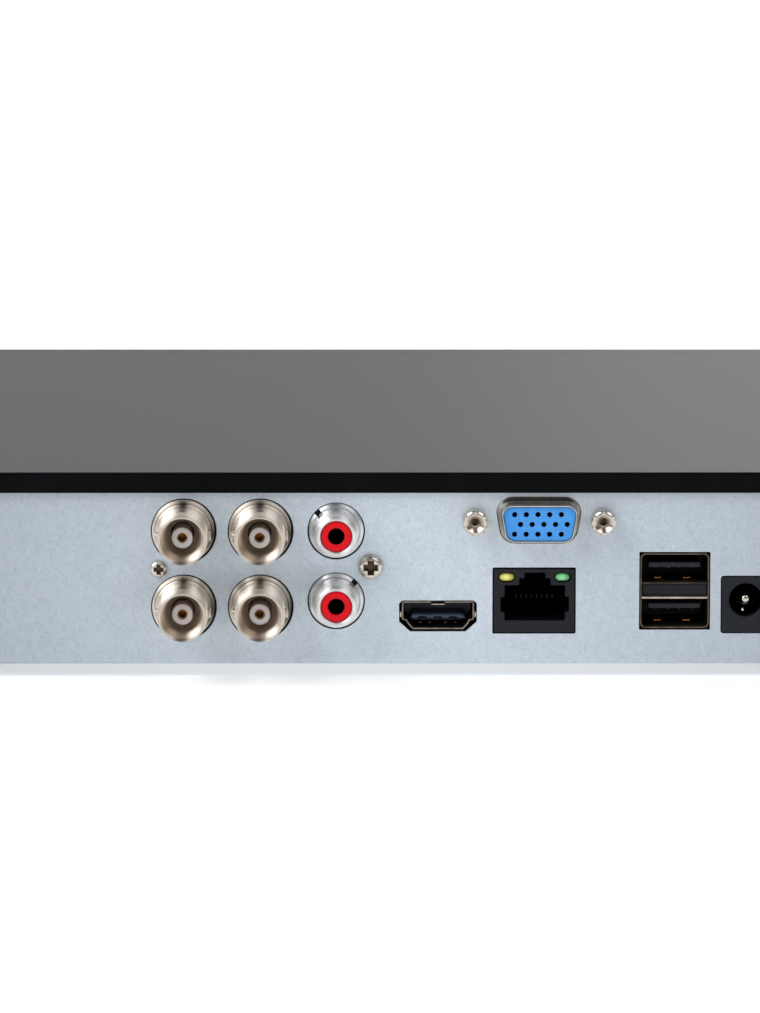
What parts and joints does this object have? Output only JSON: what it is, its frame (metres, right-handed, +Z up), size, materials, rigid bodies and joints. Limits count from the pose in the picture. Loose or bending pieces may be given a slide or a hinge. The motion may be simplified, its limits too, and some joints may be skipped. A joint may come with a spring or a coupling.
{
  "type": "digital video recorder",
  "caption": "Compact desktop video recorder: folded steel tray and black cover, front bezel, rear panel of BNC, phono, VGA, HDMI, network, USB and power sockets, with a hard drive inside.",
  "frame": {"origin": "under the middle of the outer box, on the plane that the rubber feet stand on", "axes": "+Z up; the front bezel faces -Y and the connector panel faces +Y; +X is the right-hand side seen from the front"},
  "size_m": [0.2072, 0.2192, 0.0405],
  "materials": {
    "galvanised_steel": "zinc coated sheet, fine mottled spangle",
    "black_paint": "satin black powder coat",
    "black_plastic": "fine-grained moulding",
    "rubber": "matt",
    "clear_plastic": "clear light pipe",
    "circuit_board": "green solder mask",
    "zinc_screw": "bright zinc",
    "nickel_plate": "bright nickel plate",
    "white_insulator": "smooth white resin",
    "contact_bronze": "dull bronze",
    "red_plastic": "gloss",
    "blue_plastic": "semi gloss",
    "tin_shell": "bright tin plate",
    "yellow_lens": "translucent lens",
    "green_lens": "translucent lens",
    "chip_black": "moulded epoxy",
    "anodised_fins": "black anodised",
    "white_nylon": "nylon",
    "cast_aluminium": "as cast, satin",
    "polished_disc": "mirror polished",
    "red_jacket": "flat cable jacket"
  },
  "bodies": {
    "recorder": {"base_tray": "galvanised_steel", "top_cover": "black_paint", "front_bezel": "black_plastic", "av_block": "black_plastic", "hdmi_tongue": "black_plastic", "rj45_housing": "black_plastic", "usb_insert": "black_plastic", "dc_jack_housing": "black_plastic", "foot_1": "rubber", "foot_2": "rubber", "foot_3": "rubber", "foot_4": "rubber", "light_pipe": "clear_plastic", "led_board": "circuit_board", "main_board": "circuit_board", "hdd_board": "circuit_board", "cover_screw_left_1": "zinc_screw", "cover_screw_left_2": "zinc_screw", "cover_screw_right_1": "zinc_screw", "cover_screw_right_2": "zinc_screw", "ground_screw": "zinc_screw", "connector_screw_left": "zinc_screw", "connector_screw_right": "zinc_screw", "bnc_shell_1": "nickel_plate", "bnc_shell_2": "nickel_plate", "bnc_shell_3": "nickel_plate", "bnc_shell_4": "nickel_plate", "rca_shell_1": "nickel_plate", "rca_shell_2": "nickel_plate", "vga_shell": "nickel_plate", "vga_jackscrew_left": "nickel_plate", "vga_jackscrew_right": "nickel_plate", "dc_jack_pin": "nickel_plate", "bnc_insulator_1": "white_insulator", "bnc_insulator_2": "white_insulator", "bnc_insulator_3": "white_insulator", "bnc_insulator_4": "white_insulator", "bnc_contact_1": "contact_bronze", "bnc_contact_2": "contact_bronze", "bnc_contact_3": "contact_bronze", "bnc_contact_4": "contact_bronze", "rca_insert_1": "red_plastic", "rca_insert_2": "red_plastic", "vga_insert": "blue_plastic", "hdmi_shell": "tin_shell", "usb_shell": "tin_shell", "coin_cell": "tin_shell", "reset_switch": "tin_shell", "hdd_cover": "tin_shell", "rj45_led_yellow": "yellow_lens", "rj45_led_green": "green_lens", "soc": "chip_black", "battery_holder": "chip_black", "heatsink": "anodised_fins", "sata_header": "white_nylon", "hdd_base": "cast_aluminium", "sata_cable": "red_jacket"},
    "platter": {"hdd_platter": "polished_disc"},
    "head_arm": {"hdd_actuator": "cast_aluminium"},
    "reset_cap": {"reset_button": "chip_black"}
  },
  "joints": [
    {"name": "platter_spin", "type": "hinge", "parent": "recorder", "child": "platter", "pos_m": [-0.0412, -0.0444, 0.0196], "axis": [0, 0, 1], "continuous": true},
    {"name": "head_arm_swing", "type": "hinge", "parent": "recorder", "child": "head_arm", "pos_m": [0.0096, -0.0184, 0.0218], "axis": [0, 0, -1], "range_deg": [0, 35]},
    {"name": "reset_press", "type": "slide", "parent": "recorder", "child": "reset_cap", "axis": [0, 0, -1], "range_m": [0, 0.00025], "stiffness_N_per_m": 2000}
  ]
}
